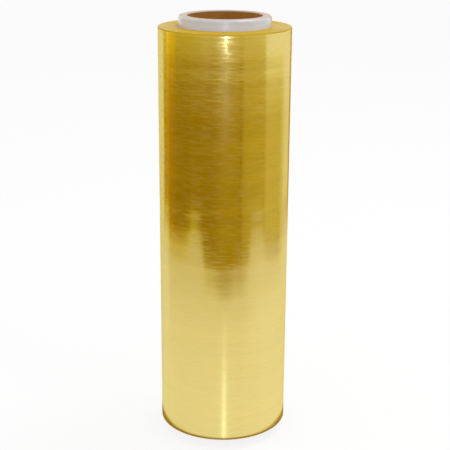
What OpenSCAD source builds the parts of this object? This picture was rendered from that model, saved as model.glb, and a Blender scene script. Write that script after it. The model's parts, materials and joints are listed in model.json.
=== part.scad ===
// Catering-size roll of cling film, standing on end on its bottom end ring.
// The film is wound on a cardboard core, and a moulded ring caps each end of the core.
// The origin is at the middle of the bottom ring's foot, and +Z runs up the roll's axis.

/* [Film] */
// Width of the film, measured along the roll
film_w = 430; // [200:1:600]
// Outside diameter of the wound film
film_od = 136; // [120:1:200]
// Rounding of the outermost turns at each end of the roll
film_rim_r = 1.2; // [0.4:0.1:3]
// Groups of turns that stand proud on each end face
turn_bands = 6; // [2:1:7]
// Width of one proud group of turns
turn_band_w = 0.9; // [0.4:0.1:1.2]
// Height by which a proud group of turns stands out of the end face
turn_rise = 0.2; // [0.1:0.05:0.5]

/* [Core] */
// Bore of the cardboard core
core_bore = 76.2; // [50:0.1:80]
// Wall thickness of the cardboard core
core_wall = 5; // [3:0.5:8]

/* [End rings] */
// Distance that an end ring stands out past the film
ring_stand = 11.1; // [6:0.1:20]
// Wall of the skirt that goes round the core
ring_skirt = 4.1; // [2.5:0.1:6]
// Thickness of the lip that covers the core's cut end
ring_lip = 1; // [0.8:0.1:4]
// Rounding of a ring's outer edge
ring_edge_r = 2.8; // [0.5:0.1:4]
// Rounding of a ring's mouth
mouth_edge_r = 0.8; // [0.2:0.1:1.5]

/* [Fits] */
// Gap all round between a ring's skirt and the core
skirt_gap = 0.1; // [0.05:0.05:0.4]
// Step all round by which a ring's mouth is wider than the core's bore
mouth_step = 0.2; // [0.05:0.05:1]
// Flat left on the end face between a ring and the first proud group of turns
seat_margin = 1.5; // [0.5:0.1:3]

/* [Hidden] */

$fn = 180;
// Length by which a cut runs past the surface that it opens
overcut = 1;

// Radii from the roll's axis
bore_r = core_bore / 2;
core_r = bore_r + core_wall;
film_r = film_od / 2;
skirt_r = core_r + skirt_gap;
ring_r = skirt_r + ring_skirt;
mouth_r = bore_r + mouth_step;
mouth_round = min(mouth_edge_r, ring_lip);

// Heights from the bottom ring's foot
film_base_z = ring_stand;
film_top_z = film_base_z + film_w;
core_base_z = ring_lip;
core_len = film_w + 2 * (ring_stand - ring_lip);

// Proud groups of turns share the end face between the ring's seat and the rounded rim
bands_from_r = ring_r + seat_margin;
bands_to_r = film_r - film_rim_r;
band_pitch = (bands_to_r - bands_from_r) / turn_bands;
band_flank = turn_band_w / 4;

// Square cut away at a block's corner, with a full quarter round left in it
module corner_cut(r) {
    difference() {
        square(r + overcut);
        circle(r);
    }
}

// Section of the wound film, with both outer corners rounded
module film_section() {
    difference() {
        translate([core_r, 0])
            square([film_r - core_r, film_w]);
        translate([film_r - film_rim_r, film_w - film_rim_r])
            corner_cut(film_rim_r);
        translate([film_r - film_rim_r, film_rim_r])
            mirror([0, 1])
                corner_cut(film_rim_r);
    }
}

// Sections of the proud groups of turns, from the middle of the roll's height out past one end face
module turn_sections() {
    for (i = [0:turn_bands - 1])
        translate([bands_from_r + i * band_pitch, film_w / 2])
            polygon([
                [0, 0],
                [turn_band_w, 0],
                [turn_band_w, film_w / 2],
                [turn_band_w - band_flank, film_w / 2 + turn_rise],
                [band_flank, film_w / 2 + turn_rise],
                [0, film_w / 2]
            ]);
}

module film_roll() {
    color([0.86, 0.73, 0.22])
        translate([0, 0, film_base_z])
            rotate_extrude()
                union() {
                    film_section();
                    turn_sections();
                    translate([0, film_w])
                        mirror([0, 1])
                            turn_sections();
                }
}

module core_tube() {
    color([0.56, 0.39, 0.16])
        translate([0, 0, core_base_z])
            rotate_extrude()
                translate([bore_r, 0])
                    square([core_wall, core_len]);
}

// One end ring, with its skirt's foot at z = 0 and its lip at the top
module end_ring() {
    color([0.82, 0.80, 0.79])
        rotate_extrude()
            difference() {
                translate([mouth_r, 0])
                    square([ring_r - mouth_r, ring_stand]);
                translate([0, -overcut])
                    square([skirt_r, ring_stand - ring_lip + overcut]);
                translate([ring_r - ring_edge_r, ring_stand - ring_edge_r])
                    corner_cut(ring_edge_r);
                translate([mouth_r + mouth_round, ring_stand - mouth_round])
                    mirror([1, 0])
                        corner_cut(mouth_round);
            }
}

module top_end_ring() {
    translate([0, 0, film_top_z])
        end_ring();
}

module bottom_end_ring() {
    translate([0, 0, film_base_z])
        mirror([0, 0, 1])
            end_ring();
}

core_tube();
film_roll();
top_end_ring();
bottom_end_ring();
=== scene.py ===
"""A tall roll of yellow-gold cling film, standing on end on a white table. All sizes are in metres."""

import json
import math

import bpy
from mathutils import Matrix, Vector


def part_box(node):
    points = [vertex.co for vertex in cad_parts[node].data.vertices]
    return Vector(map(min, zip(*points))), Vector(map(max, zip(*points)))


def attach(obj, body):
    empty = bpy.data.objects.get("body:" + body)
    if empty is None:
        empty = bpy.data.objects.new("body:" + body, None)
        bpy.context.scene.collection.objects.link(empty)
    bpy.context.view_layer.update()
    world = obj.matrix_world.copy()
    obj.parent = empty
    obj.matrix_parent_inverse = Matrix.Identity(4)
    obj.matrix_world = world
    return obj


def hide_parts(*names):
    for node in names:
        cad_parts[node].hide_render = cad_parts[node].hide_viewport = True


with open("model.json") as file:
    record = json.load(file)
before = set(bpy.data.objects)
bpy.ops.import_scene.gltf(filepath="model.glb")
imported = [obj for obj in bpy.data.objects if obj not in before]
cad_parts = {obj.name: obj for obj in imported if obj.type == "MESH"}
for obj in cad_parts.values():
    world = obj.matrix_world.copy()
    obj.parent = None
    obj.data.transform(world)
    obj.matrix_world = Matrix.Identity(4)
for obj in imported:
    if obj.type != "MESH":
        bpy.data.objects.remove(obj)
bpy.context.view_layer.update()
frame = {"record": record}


# The camera
# A long lens stands a little over a metre away, above the roll's top, and looks down on it. The lens,
# place and tilt were worked out from the outlines of the film and the ring in the photograph.
camera_data = bpy.data.cameras.new("camera")
camera_data.sensor_width = 36
camera_data.lens = 87.82
camera_place = (0, -1.1172, 0.5803)
camera_yaw = math.radians(0.067)
camera_pitch = math.radians(17.387)
camera_roll = math.radians(0.339)
camera = bpy.data.objects.new("camera", camera_data)
bpy.context.scene.collection.objects.link(camera)
camera.matrix_world = (
    Matrix.Translation(camera_place)
    @ Matrix.Rotation(-camera_yaw, 4, "Z")
    @ Matrix.Rotation(math.pi / 2 - camera_pitch, 4, "X")
    @ Matrix.Rotation(camera_roll, 4, "Z")
)
bpy.context.scene.camera = camera
bpy.context.scene.view_settings.view_transform = "Standard"


# The core
# A thick tube of brown board, wound on the slant from strips of paper and glued. The film is wound on
# it, and its bore takes the dispenser's mandrel.
def turned(name, section, slots, materials, steps=224):
    """A solid turned about the roll's axis from a closed section of (radius, height) points.

    slots gives the material of the face that leaves each point of the section."""
    sides = len(section)
    points = []
    for step in range(steps):
        turn = 2 * math.pi * step / steps
        points += [(r * math.cos(turn), r * math.sin(turn), z) for r, z in section]
    faces, face_slots = [], []
    for step in range(steps):
        here, there = step * sides, (step + 1) % steps * sides
        for side in range(sides):
            after = (side + 1) % sides
            faces.append((here + side, there + side, there + after, here + after))
            face_slots.append(slots[side])
    mesh = bpy.data.meshes.new(name)
    mesh.from_pydata(points, [], faces)
    mesh.polygons.foreach_set("material_index", face_slots)
    for material in materials:
        mesh.materials.append(material)
    mesh.shade_smooth()
    mesh.set_sharp_from_angle(angle=math.radians(38))
    piece = bpy.data.objects.new(name, mesh)
    bpy.context.scene.collection.objects.link(piece)
    return piece


def place(tree, kind, sockets=None, **options):
    """One node in a tree. sockets holds a value or a link for each input that is set."""
    node = tree.nodes.new(kind)
    for option, value in options.items():
        setattr(node, option, value)
    for socket, value in (sockets or {}).items():
        if isinstance(value, bpy.types.NodeSocket):
            tree.links.new(value, node.inputs[socket])
        else:
            node.inputs[socket].default_value = value
    return node


def math_of(tree, operation, first, second=0.0, third=0.0, clamp=False):
    """The result of one Math node."""
    sockets = {0: first, 1: second, 2: third}
    return place(tree, "ShaderNodeMath", sockets, operation=operation, use_clamp=clamp).outputs[0]


def blend_of(tree, share, low, high):
    """Two colours mixed by a share from 0 to 1."""
    node = place(tree, "ShaderNodeMix", {0: share}, data_type="RGBA")
    for socket, value in ((node.inputs[6], low), (node.inputs[7], high)):
        if isinstance(value, bpy.types.NodeSocket):
            tree.links.new(value, socket)
        else:
            socket.default_value = value
    return node.outputs[2]


def stretched_noise(tree, where, stretch, detail=2.0, roughness=0.5):
    """Noise on a place that is scaled along each axis first."""
    scaled = place(tree, "ShaderNodeMapping", {"Vector": where, "Scale": stretch})
    sockets = {"Vector": scaled.outputs[0], "Scale": 1.0, "Detail": detail, "Roughness": roughness}
    return place(tree, "ShaderNodeTexNoise", sockets).outputs["Fac"]


def remap(tree, value, low, high, to_low=0.0, to_high=1.0, kind="SMOOTHSTEP"):
    """A value carried from one range to another, and held inside it."""
    sockets = {0: value, 1: low, 2: high, 3: to_low, 4: to_high}
    return place(tree, "ShaderNodeMapRange", sockets, interpolation_type=kind).outputs[0]


def new_material(name):
    """A material, its tree and its one Principled shader."""
    material = bpy.data.materials.new(name)
    material.use_nodes = True
    return material, material.node_tree, material.node_tree.nodes["Principled BSDF"]


core_low, core_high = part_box("core_tube")
core_outer = core_high.x
bore_mount = next(mount for mount in frame["record"]["mounts"] if mount["name"] == "core_bore")
core_bore = bore_mount["dims"]["r_mm"] / 1000
# Width of the paper strips along the roll, and of the seam between two of them
paper_strip = 0.088
seam_width = 0.0011

board, tree, shader = new_material("brown core board")
where = place(tree, "ShaderNodeTexCoord").outputs["Object"]
axes = place(tree, "ShaderNodeSeparateXYZ", {0: where})
turn = math_of(tree, "ARCTAN2", axes.outputs["Y"], axes.outputs["X"])
climb = math_of(tree, "MULTIPLY_ADD", turn, paper_strip / (2 * math.pi), axes.outputs["Z"])
across_strip = math_of(tree, "PINGPONG", climb, paper_strip / 2)
seam = remap(tree, across_strip, seam_width / 2, seam_width, 1.0, 0.0)
fibres = stretched_noise(tree, where, (420, 420, 1300), 4.0, 0.65)
mottle = stretched_noise(tree, where, (60, 60, 90), 3.0, 0.6)
tone = math_of(tree, "MULTIPLY_ADD", fibres, 0.55, math_of(tree, "MULTIPLY", mottle, 0.45))
paper = blend_of(tree, remap(tree, tone, 0.34, 0.66), (0.34, 0.135, 0.008, 1), (0.50, 0.225, 0.018, 1))
paper = blend_of(tree, math_of(tree, "MULTIPLY", seam, 0.6), paper, (0.22, 0.09, 0.010, 1))
height = math_of(tree, "MULTIPLY_ADD", seam, -3.0, fibres)
fibre_rise = 0.00006
relief = place(tree, "ShaderNodeBump", {"Strength": 0.7, "Distance": fibre_rise, "Height": height})
tree.links.new(paper, shader.inputs["Base Color"])
tree.links.new(relief.outputs[0], shader.inputs["Normal"])
tree.links.new(remap(tree, mottle, 0.3, 0.7, 0.7, 0.85), shader.inputs["Roughness"])

core_section = [
    (core_outer, core_low.z),
    (core_outer, core_high.z),
    (core_bore, core_high.z),
    (core_bore, core_low.z),
]
core = turned("spiral_wound_core", core_section, [0] * len(core_section), [board], steps=160)
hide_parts("core_tube")
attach(core, "root")


# The film
# One long web of thin clear film with a yellow tint, wound so tight that its turns act as one glossy
# body. The turns show as fine lines round the side and as faint rings on both ends.
film_low, film_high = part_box("film_roll")
end_ring_low, end_ring_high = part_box("top_end_ring")
# The CAD's circles are polygons, so the film turned here is a hair thinner and stays inside their box
film_outer = -film_low.x
film_inner = core_outer
ring_outer = end_ring_high.x
rim_round = 0.0012
# Groups of turns that stand proud of each end face, outside the flat margin round the ring
turn_bands = 6
band_width = 0.0009
band_rise = 0.0002
seat_margin = 0.0015
film_base = film_low.z + band_rise
film_top = film_high.z - band_rise
bands_from = ring_outer + seat_margin
band_pitch = (film_outer - rim_round - bands_from) / turn_bands
micrometre = 0.000001


def turn_lines():
    """A group for wound film: from the distance across the turns and the direction round the roll, it
    gives fine streaks, their height in micrometres, and where the surface is brushed dull."""
    group = bpy.data.node_groups.new("turn lines", "ShaderNodeTree")
    face = group.interface
    face.new_socket("Round", in_out="INPUT", socket_type="NodeSocketVector")
    for name in ("Across", "Waviness", "Lines", "Scuffs"):
        face.new_socket(name, in_out="INPUT", socket_type="NodeSocketFloat")
    for name in ("Streak", "Height", "Brushed"):
        face.new_socket(name, in_out="OUTPUT", socket_type="NodeSocketFloat")
    ends = group.nodes.new("NodeGroupInput")
    out = group.nodes.new("NodeGroupOutput")
    way = place(group, "ShaderNodeSeparateXYZ", {0: ends.outputs["Round"]})
    spot = place(group, "ShaderNodeCombineXYZ",
                 {0: way.outputs[0], 1: way.outputs[1], 2: ends.outputs["Across"]}).outputs[0]
    bands = stretched_noise(group, spot, (0.7, 0.7, 120), 2.0, 0.5)
    fine = stretched_noise(group, spot, (5.0, 5.0, 620), 3.0, 0.65)
    dashes = stretched_noise(group, spot, (9.0, 9.0, 1100), 2.0, 0.6)
    sparse = remap(group, dashes, 0.45, 0.75)
    streak = math_of(group, "MULTIPLY_ADD", fine, 0.6, math_of(group, "MULTIPLY", bands, 0.4))
    rise = math_of(group, "MULTIPLY", bands, ends.outputs["Waviness"])
    rise = math_of(group, "MULTIPLY_ADD", fine, ends.outputs["Lines"], rise)
    rise = math_of(group, "MULTIPLY_ADD", sparse, ends.outputs["Scuffs"], rise)
    group.links.new(streak, out.inputs["Streak"])
    group.links.new(rise, out.inputs["Height"])
    group.links.new(remap(group, fine, 0.44, 0.6), out.inputs["Brushed"])
    return group


def off_axis(tree, axes, operation):
    """The direction or the distance of a place from the roll's axis, by NORMALIZE or LENGTH."""
    flat = place(tree, "ShaderNodeCombineXYZ", {0: axes.outputs["X"], 1: axes.outputs["Y"]})
    return place(tree, "ShaderNodeVectorMath", {0: flat.outputs[0]}, operation=operation)


lines = turn_lines()

side, tree, shader = new_material("glossy wound film")
where = place(tree, "ShaderNodeTexCoord").outputs["Object"]
axes = place(tree, "ShaderNodeSeparateXYZ", {0: where})
outward = off_axis(tree, axes, "NORMALIZE").outputs["Vector"]
turns = place(tree, "ShaderNodeGroup", {}, node_tree=lines)
tree.links.new(axes.outputs["Z"], turns.inputs["Across"])
tree.links.new(outward, turns.inputs["Round"])
turns.inputs["Waviness"].default_value = 50.0
turns.inputs["Lines"].default_value = 15.5
turns.inputs["Scuffs"].default_value = 5.0
streak = remap(tree, turns.outputs["Streak"], 0.35, 0.65)
tint = blend_of(tree, streak, (0.52, 0.265, 0.0, 1), (0.62, 0.322, 0.0, 1))
relief = place(tree, "ShaderNodeBump",
               {"Strength": 1.0, "Distance": micrometre, "Height": turns.outputs["Height"]})
tree.links.new(tint, shader.inputs["Base Color"])
tree.links.new(relief.outputs[0], shader.inputs["Normal"])
dull = remap(tree, turns.outputs["Brushed"], 0.0, 1.0, 0.06, 0.22, "LINEAR")
tree.links.new(dull, shader.inputs["Roughness"])
# The many clear turns under the surface mirror too, so the film shines more than one sheet would
shader.inputs["IOR"].default_value = 5.6
shader.inputs["Specular Tint"].default_value = (1.0, 0.98, 0.45, 1)
shader.inputs["Anisotropic"].default_value = 0.8

edge, tree, shader = new_material("film ends")
where = place(tree, "ShaderNodeTexCoord").outputs["Object"]
axes = place(tree, "ShaderNodeSeparateXYZ", {0: where})
outward = off_axis(tree, axes, "NORMALIZE").outputs["Vector"]
radius = off_axis(tree, axes, "LENGTH").outputs["Value"]
turns = place(tree, "ShaderNodeGroup", {}, node_tree=lines)
tree.links.new(radius, turns.inputs["Across"])
tree.links.new(outward, turns.inputs["Round"])
turns.inputs["Waviness"].default_value = 30.0
turns.inputs["Lines"].default_value = 20.0
turns.inputs["Scuffs"].default_value = 10.0
streak = remap(tree, turns.outputs["Streak"], 0.32, 0.68)
# Painted shade: close to the ring the end face is painted a darker, deeper gold, where the ring shades it
ring_painted_shade_width = 0.006
ring_painted_shade = remap(tree, radius, ring_outer, ring_outer + ring_painted_shade_width, 1.0, 0.0)
at_rim = remap(tree, radius, film_outer - 0.0016, film_outer - 0.0006)
pale = blend_of(tree, streak, (0.545, 0.355, 0.008, 1), (0.62, 0.405, 0.016, 1))
pale = blend_of(tree, math_of(tree, "MULTIPLY", ring_painted_shade, 0.4), pale, (0.52, 0.32, 0.0, 1))
# The rims have a darker edge colour of their own, and the lower rim, by the table, is painted darker still
# as painted shade
upper = remap(tree, axes.outputs["Z"], 0.1, 0.3)
rim_tone_and_painted_shade = blend_of(tree, upper, (0.36, 0.20, 0.01, 1), (0.50, 0.32, 0.02, 1))
pale = blend_of(tree, at_rim, pale, rim_tone_and_painted_shade)
relief = place(tree, "ShaderNodeBump",
               {"Strength": 1.0, "Distance": micrometre, "Height": turns.outputs["Height"]})
tree.links.new(pale, shader.inputs["Base Color"])
tree.links.new(relief.outputs[0], shader.inputs["Normal"])
shader.inputs["Roughness"].default_value = 0.3
shader.inputs["IOR"].default_value = 1.12


def quarter_round(centre_r, centre_z, size, start, count):
    """Points of a quarter circle in the section, from the angle start on."""
    angles = (start + math.pi / 2 * i / (count - 1) for i in range(count))
    return [(centre_r + size * math.cos(a), centre_z + size * math.sin(a)) for a in angles]


def band_height(r):
    """Height by which the end face stands proud at a radius. Each group of turns is a round-topped ridge."""
    along = (r - bands_from) % band_pitch
    if not bands_from <= r <= film_outer - rim_round or along > band_width:
        return 0.0
    return band_rise * math.sin(math.pi * along / band_width) ** 0.5


# Half the depth of a gauge wave, as a share of its length
wave_share = 0.0005


def gauge_band(z):
    """Depth by which the side lies under the largest radius, because the film isn't evenly thick."""
    depth = 0.0
    for wave, start in ((0.019, 0.8), (0.031, 2.1), (0.067, 4.4)):
        depth += wave * wave_share * (1 - math.cos(2 * math.pi * z / wave + start))
    return depth


end_step = 0.00022
end_width = film_outer - rim_round - film_inner
end_count = round(end_width / end_step)
end_radii = [film_inner + end_width * i / end_count for i in range(end_count)]
rim_points = 7
side_step = 0.0026
side_from, side_to = film_base + rim_round, film_top - rim_round
side_count = round((side_to - side_from) / side_step)
side_heights = [side_from + (side_to - side_from) * i / side_count for i in range(1, side_count)]

film_section = [(r, film_base - band_height(r)) for r in end_radii]
film_section += quarter_round(film_outer - rim_round, side_from, rim_round, -math.pi / 2, rim_points)
film_section += [(film_outer - gauge_band(z), z) for z in side_heights]
film_section += quarter_round(film_outer - rim_round, side_to, rim_round, 0, rim_points)
film_section += [(r, film_top + band_height(r)) for r in reversed(end_radii)]
# The side has the first material, and both ends with their rims have the second
side_first = end_count + rim_points - 1
side_last = len(film_section) - end_count - rim_points
film_slots = [0 if side_first <= i < side_last else 1 for i in range(len(film_section))]
film = turned("wound_film", film_section, film_slots, [side, edge])
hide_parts("film_roll")
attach(film, "root")


# The end rings
# A moulded ring of pale, slightly milky plastic is pushed over each end of the core. Its lip covers
# the core's cut end, and its skirt stands on the film's end face.
ring_stand = end_ring_high.z - end_ring_low.z
lip = end_ring_high.z - core_high.z
skirt_gap = 0.0001
mouth = core_bore + 0.0002
outer_round = 0.0028
mouth_round = 0.0008

plastic, tree, shader = new_material("milky ring plastic")
where = place(tree, "ShaderNodeTexCoord").outputs["Object"]
axes = place(tree, "ShaderNodeSeparateXYZ", {0: where})
radius = off_axis(tree, axes, "LENGTH").outputs["Value"]
cloud = stretched_noise(tree, where, (90, 90, 140), 3.0, 0.6)
grain = stretched_noise(tree, where, (900, 900, 900), 3.0, 0.6)
milky = blend_of(tree, remap(tree, cloud, 0.3, 0.7), (0.56, 0.555, 0.62, 1), (0.60, 0.595, 0.66, 1))
# Painted light: the ring is painted paler low on its skirt, towards the film's end face, to lift the shade
# that falls there; and the board shows faintly through the lip
half_height = (film_top - film_base) / 2
above_middle = math_of(tree, "SUBTRACT", axes.outputs["Z"], film_base + half_height)
from_middle = math_of(tree, "ABSOLUTE", above_middle)
painted_light_by_foot = remap(tree, from_middle, half_height, half_height + 0.008, 1.0, 0.0, "LINEAR")
milky = blend_of(tree, painted_light_by_foot, milky, (0.72, 0.73, 0.86, 1))
over_board = remap(tree, radius, ring_outer - 0.0022, ring_outer - 0.0002, 1.0, 0.0)
milky = blend_of(tree, over_board, milky, (0.56, 0.45, 0.39, 1))
relief = place(tree, "ShaderNodeBump", {"Strength": 0.5, "Distance": 6 * micrometre, "Height": grain})
tree.links.new(milky, shader.inputs["Base Color"])
tree.links.new(relief.outputs[0], shader.inputs["Normal"])
satin = remap(tree, cloud, 0.3, 0.7, 0.20, 0.26)
satin = math_of(tree, "MULTIPLY_ADD", over_board, 0.35, satin)
tree.links.new(satin, shader.inputs["Roughness"])
tree.links.new(math_of(tree, "SUBTRACT", 1.0, over_board), shader.inputs["Coat Weight"])
shader.inputs["Coat Roughness"].default_value = 0.26

skirt_inner = core_outer + skirt_gap
edge_points = 9
mouth_points = 7
ring_section = [(skirt_inner, 0), (ring_outer, 0)]
ring_section += quarter_round(ring_outer - outer_round, ring_stand - outer_round, outer_round,
                              0, edge_points)
ring_section += quarter_round(mouth + mouth_round, ring_stand - mouth_round, mouth_round,
                              math.pi / 2, mouth_points)
ring_section += [(mouth, ring_stand - lip), (skirt_inner, ring_stand - lip)]
for name, node, foot, way in (
    ("top_ring", "top_end_ring", film_top, 1),
    ("bottom_ring", "bottom_end_ring", film_base, -1),
):
    placed = [(r, foot + way * z) for r, z in ring_section][::way]
    ring = turned(name, placed, [0] * len(placed), [plastic])
    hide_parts(node)
    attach(ring, "root")


# The studio
# The roll stands on a white table in a large pale room with white boards to its right and behind it.
# What the film mirrors is set by direction and distance from the roll, and the camera sees plain white.
window_azimuth = 2.3


def surroundings():
    """A group that gives what the gloss sees at a place on the floor or in a direction, from the way
    out from the roll and the distance."""
    group = bpy.data.node_groups.new("surroundings", "ShaderNodeTree")
    face = group.interface
    face.new_socket("Way", in_out="INPUT", socket_type="NodeSocketVector")
    face.new_socket("Distance", in_out="INPUT", socket_type="NodeSocketFloat")
    face.new_socket("Color", in_out="OUTPUT", socket_type="NodeSocketColor")
    ends = group.nodes.new("NodeGroupInput")
    out = group.nodes.new("NodeGroupOutput")
    way = place(group, "ShaderNodeSeparateXYZ", {0: ends.outputs["Way"]})
    toward = math_of(group, "MULTIPLY", way.outputs[1], -1.0)
    azimuth = math_of(group, "ARCTAN2", way.outputs[0], toward)
    share = math_of(group, "MULTIPLY_ADD", azimuth, 1 / (2 * math.pi), 0.5)

    def by_azimuth(stops):
        """A ramp round the room. Each stop is an azimuth in degrees, 0 at the camera, and its colour or
        its one level."""
        ramp = place(group, "ShaderNodeValToRGB", {0: share})
        band = ramp.color_ramp
        for index, (degrees, colour) in enumerate(stops):
            at = degrees / 360 + 0.5
            stop = band.elements[index] if index < 2 else band.elements.new(at)
            stop.position = at
            stop.color = (*colour, 1) if isinstance(colour, tuple) else (colour, colour, colour, 1)
        return ramp.outputs["Color"]

    def warm(level, red=1.0, blue=1.0):
        """The colour of a level of brightness in this room, which turns brown as it dims."""
        return (level ** 0.85 * red, level, level ** 2.3 * blue)

    # The walls: an azimuth, the colour low down and the colour high up
    walls = (
        (-180, warm(0.45), warm(1.0, 1.0, 1.0)),
        (180, warm(0.45), warm(1.0, 1.0, 1.0)),
        (-169, warm(0.45), warm(1.0, 1.0, 1.0)),
        (-167, warm(0.95, 1.0, 0.9), warm(1.1, 1.0, 0.85)),
        (-130, warm(0.93, 1.0, 0.9), warm(1.1, 1.0, 0.80)),
        (-128, warm(0.24, 1.4, 0.0), warm(0.62, 1.3, 0.0)),
        (-116, warm(0.20, 1.4, 0.0), warm(0.58, 1.3, 0.0)),
        (-115, warm(0.26, 1.3, 0.3), warm(1.0, 1.1, 0.4)),
        (-111, warm(0.24, 1.3, 0.3), warm(0.98, 1.1, 0.4)),
        (-110, warm(0.06, 2.2, 0.0), warm(0.66, 1.5, 0.0)),
        (-95, warm(0.05, 2.2, 0.0), warm(0.62, 1.5, 0.0)),
        (-92, warm(0.02), warm(0.44, 1.0, 0.5)),
        (-62, warm(0.01), warm(0.44, 1.0, 0.6)),
        (-58, warm(0.04), warm(0.46, 1.0, 0.6)),
        (-44, warm(0.02), warm(0.46, 1.0, 0.8)),
        (-36, warm(0.03), warm(0.54, 1.0, 0.9)),
        (-27, warm(0.03), warm(0.53)),
        (-20.5, warm(0.02), warm(0.45)),
        (-19, warm(0.03), warm(0.50)),
        (-2, warm(0.11), warm(0.56)),
        (24, warm(0.11), warm(0.52)),
        (28, warm(0.03), warm(0.36)),
        (34, warm(0.24), warm(0.56)),
        (69, warm(0.28), warm(0.62)),
        (72, warm(0.23), warm(0.60)),
        (76, warm(0.46), warm(1.5, 1.0, 0.5)),
        (112, warm(0.43), warm(1.42, 1.0, 0.5)),
        (130, warm(0.88), warm(1.2, 1.0, 0.9)),
        (150, warm(0.84), warm(1.28, 1.0, 0.9)),
        (153, warm(0.21, 1.45, 0.3), warm(0.25, 1.45, 0.3)),
        (165, warm(0.21, 1.45, 0.3), warm(0.25, 1.45, 0.3)),
        (168, warm(0.45), warm(1.0, 1.0, 1.0)),
    )
    low = by_azimuth([(degrees, colour) for degrees, colour, _ in walls])
    high = by_azimuth([(degrees, colour) for degrees, _, colour in walls])
    distance = ends.outputs["Distance"]
    room = blend_of(group, remap(group, distance, 1.65, 3.9), low, high)

    # How far the table reaches before the walls take over softly, colour by colour
    reach = by_azimuth([
        (-180, 0.55),
        (180, 0.62),
        (-134, (0.64, 0.64, 0.60)),
        (-125, (0.955, 0.94, 0.865)),
        (-116, (0.955, 0.94, 0.865)),
        (-108, (0.785, 0.77, 0.70)),
        (-81, (0.765, 0.75, 0.69)),
        (-67, (0.795, 0.785, 0.72)),
        (-53, (0.90, 0.90, 0.83)),
        (-41, (0.84, 0.84, 0.80)),
        (-31, (0.64, 0.64, 0.60)),
        (-17, (0.62, 0.62, 0.60)),
        (-5, 0.56),
        (9, 0.56),
        (17, 0.60),
        (30, 0.60),
        (41, 0.64),
        (50, 0.85),
        (69, 0.87),
        (78, (0.68, 0.68, 0.72)),
        (112, (0.66, 0.66, 0.70)),
        (124, (0.86, 0.86, 0.90)),
        (140, 0.98),
        (152, 0.9),
    ])
    half_fade = 0.11
    fade = (half_fade, half_fade, half_fade)
    nearest = place(group, "ShaderNodeVectorMath", {0: reach, 1: fade}, operation="SUBTRACT").outputs[0]
    farthest = place(group, "ShaderNodeVectorMath", {0: reach, 1: fade}, operation="ADD").outputs[0]
    beyond = place(group, "ShaderNodeMapRange", {6: distance, 7: nearest, 8: farthest},
                   data_type="FLOAT_VECTOR", interpolation_type="SMOOTHSTEP").outputs[1]

    # The table dims with distance, and less where daylight falls on it
    dimmer = math_of(group, "POWER", math_of(group, "SUBTRACT", distance, 0.1, clamp=True), 2.0)
    sunny = by_azimuth([
        (-180, 0.2),
        (180, 0.2),
        (-140, 0.32),
        (-118, 0.30),
        (-106, 0.0),
        (30, 0.0),
        (60, 0.14),
        (115, 0.14),
        (140, 0.40),
        (160, 0.40),
    ])
    level = math_of(group, "MULTIPLY_ADD", dimmer, -1.1, math_of(group, "ADD", sunny, 0.99))
    level = math_of(group, "MAXIMUM", math_of(group, "MINIMUM", level, 1.0), 0.62)
    away = math_of(group, "ABSOLUTE", azimuth)
    behind = remap(group, away, math.radians(105), math.radians(150), 0.0, 0.04)
    level = math_of(group, "SUBTRACT", level, behind)
    # Close to the roll its own shadow lies on the table
    shadow = remap(group, distance, 0.086, 0.094, 0.05, 1.0)
    level = math_of(group, "MULTIPLY", level, shadow)
    red = math_of(group, "POWER", level, 0.85)
    blue = math_of(group, "POWER", level, 1.6)
    table = place(group, "ShaderNodeCombineColor", {0: red, 1: level, 2: blue}).outputs[0]
    seen = place(group, "ShaderNodeMix", {1: beyond, 4: table, 5: room},
                 data_type="VECTOR", factor_mode="NON_UNIFORM").outputs[1]

    # The glow of the window, which is strongest from its sill up
    off_window = math_of(group, "SUBTRACT", azimuth, math.radians(window_azimuth))
    off_window = math_of(group, "DIVIDE", off_window, math.radians(6))
    glow = math_of(group, "DIVIDE", 1.0, math_of(group, "MULTIPLY_ADD", off_window, off_window, 1.0))
    sill = remap(group, distance, 1.2, 2.0, 0.0, 0.13)
    pane = remap(group, distance, 2.4, 3.3, 0.0, 0.33)
    glow = math_of(group, "MULTIPLY", glow, math_of(group, "ADD", sill, pane))
    daylight = (0.95, 1.0, 1.7)
    seen = place(group, "ShaderNodeVectorMath", {0: glow, 1: daylight, 2: seen},
                 operation="MULTIPLY_ADD").outputs[0]
    seen = place(group, "ShaderNodeVectorMath", {0: seen, 1: (1, 1, 1)}, operation="MINIMUM").outputs[0]
    group.links.new(seen, out.inputs["Color"])
    return group


look = surroundings()
room_size = 12.0
floor_mesh = bpy.data.meshes.new("floor")
floor_mesh.from_pydata(
    [(x, y, 0) for x, y in ((-1, -1), (1, -1), (1, 1), (-1, 1))], [], [(0, 1, 2, 3)]
)
floor_mesh.transform(Matrix.Scale(room_size, 4))
floor = bpy.data.objects.new("floor", floor_mesh)
bpy.context.scene.collection.objects.link(floor)

white, tree, shader = new_material("white table")
tree.nodes.remove(shader)
output = tree.nodes["Material Output"]
rays = place(tree, "ShaderNodeLightPath")
spot = place(tree, "ShaderNodeNewGeometry").outputs["Position"]
distance = place(tree, "ShaderNodeVectorMath", {0: spot}, operation="LENGTH").outputs["Value"]
mirrored = place(tree, "ShaderNodeGroup", {}, node_tree=look)
tree.links.new(spot, mirrored.inputs["Way"])
tree.links.new(distance, mirrored.inputs["Distance"])
# The camera sees the table nearly white, with enough of its paint to keep the roll's shadow
shadow_share = 0.16
paint = place(tree, "ShaderNodeBsdfDiffuse", {"Color": (0.93, 0.93, 0.93, 1)})
bright = place(tree, "ShaderNodeEmission", {"Color": (1, 1, 1, 1), "Strength": 1.0})
seen = place(tree, "ShaderNodeMixShader", {0: shadow_share, 1: bright.outputs[0], 2: paint.outputs[0]})
plain = place(tree, "ShaderNodeMixShader",
              {0: rays.outputs["Is Camera Ray"], 1: paint.outputs[0], 2: seen.outputs[0]})
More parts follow.
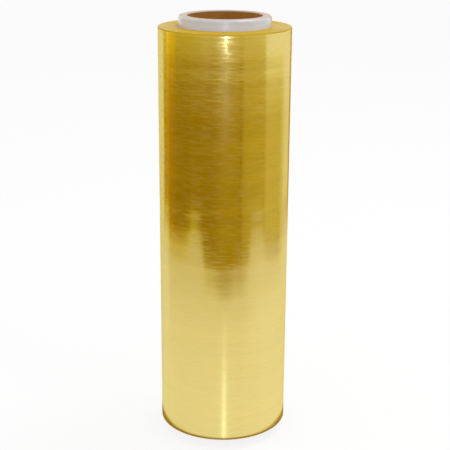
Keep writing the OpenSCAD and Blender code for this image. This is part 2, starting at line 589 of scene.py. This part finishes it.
# What the film mirrors of the table: its set colour, and a little of the lamps in its polish near the roll
glow = place(tree, "ShaderNodeEmission", {"Color": mirrored.outputs["Color"], "Strength": 1.0})
shine = remap(tree, distance, 0.1, 0.55, 0.10, 0.0, "LINEAR")
polish = place(tree, "ShaderNodeBsdfAnisotropic", {"Color": shine, "Roughness": 0.15})
gloss = place(tree, "ShaderNodeAddShader", {0: glow.outputs[0], 1: polish.outputs[0]})
gloss_ray = math_of(tree, "MAXIMUM", rays.outputs["Is Glossy Ray"], rays.outputs["Is Transmission Ray"])
final = place(tree, "ShaderNodeMixShader", {0: gloss_ray, 1: plain.outputs[0], 2: gloss.outputs[0]})
tree.links.new(final.outputs[0], output.inputs["Surface"])
floor_mesh.materials.append(white)

world = bpy.data.worlds.new("white room")
world.use_nodes = True
bpy.context.scene.world = world
tree = world.node_tree
rays = place(tree, "ShaderNodeLightPath")
way = place(tree, "ShaderNodeTexCoord").outputs["Generated"]
mirrored = place(tree, "ShaderNodeGroup", {"Distance": room_size}, node_tree=look)
tree.links.new(way, mirrored.inputs["Way"])
gloss_ray = math_of(tree, "MAXIMUM", rays.outputs["Is Glossy Ray"], rays.outputs["Is Transmission Ray"])
ambient = blend_of(tree, gloss_ray, (0.82, 0.82, 0.82, 1), mirrored.outputs["Color"])
shown = blend_of(tree, rays.outputs["Is Camera Ray"], ambient, (1, 1, 1, 1))
tree.links.new(shown, tree.nodes["Background"].inputs["Color"])


def lamp(name, size, power, azimuth, height, distance, colour=(1, 1, 1)):
    """A flat oval lamp that faces the roll, with its azimuth in degrees and its power in watts."""
    data = bpy.data.lights.new(name, "AREA")
    data.shape = "ELLIPSE"
    data.size, data.size_y = size
    data.energy = power
    data.color = colour
    lit = bpy.data.objects.new(name, data)
    bpy.context.scene.collection.objects.link(lit)
    turn = math.radians(azimuth)
    lit.location = (distance * math.sin(turn), -distance * math.cos(turn), height)
    lit.rotation_euler = (lit.location - Vector((0, 0, 0.3))).to_track_quat("Z", "Y").to_euler()
    lit.visible_camera = False
    return lit


lamp("soft box", (0.9, 0.7), power=11.0, azimuth=120, height=2.2, distance=0.9)
lamp("low window", (0.05, 0.045), power=0.55, azimuth=window_azimuth, height=0.282, distance=1.6,
     colour=(0.85, 0.9, 1.0))
lamp("window gap", (0.03, 0.012), power=0.02, azimuth=window_azimuth, height=0.232, distance=1.61,
     colour=(0.85, 0.9, 1.0))
lamp("small lamp", (0.3, 0.3), power=2.0, azimuth=54, height=1.7, distance=1.1)
lamp("tall window", (0.36, 0.6), power=5.5, azimuth=window_azimuth, height=1.3, distance=2.6,
     colour=(0.8, 0.88, 1.0))
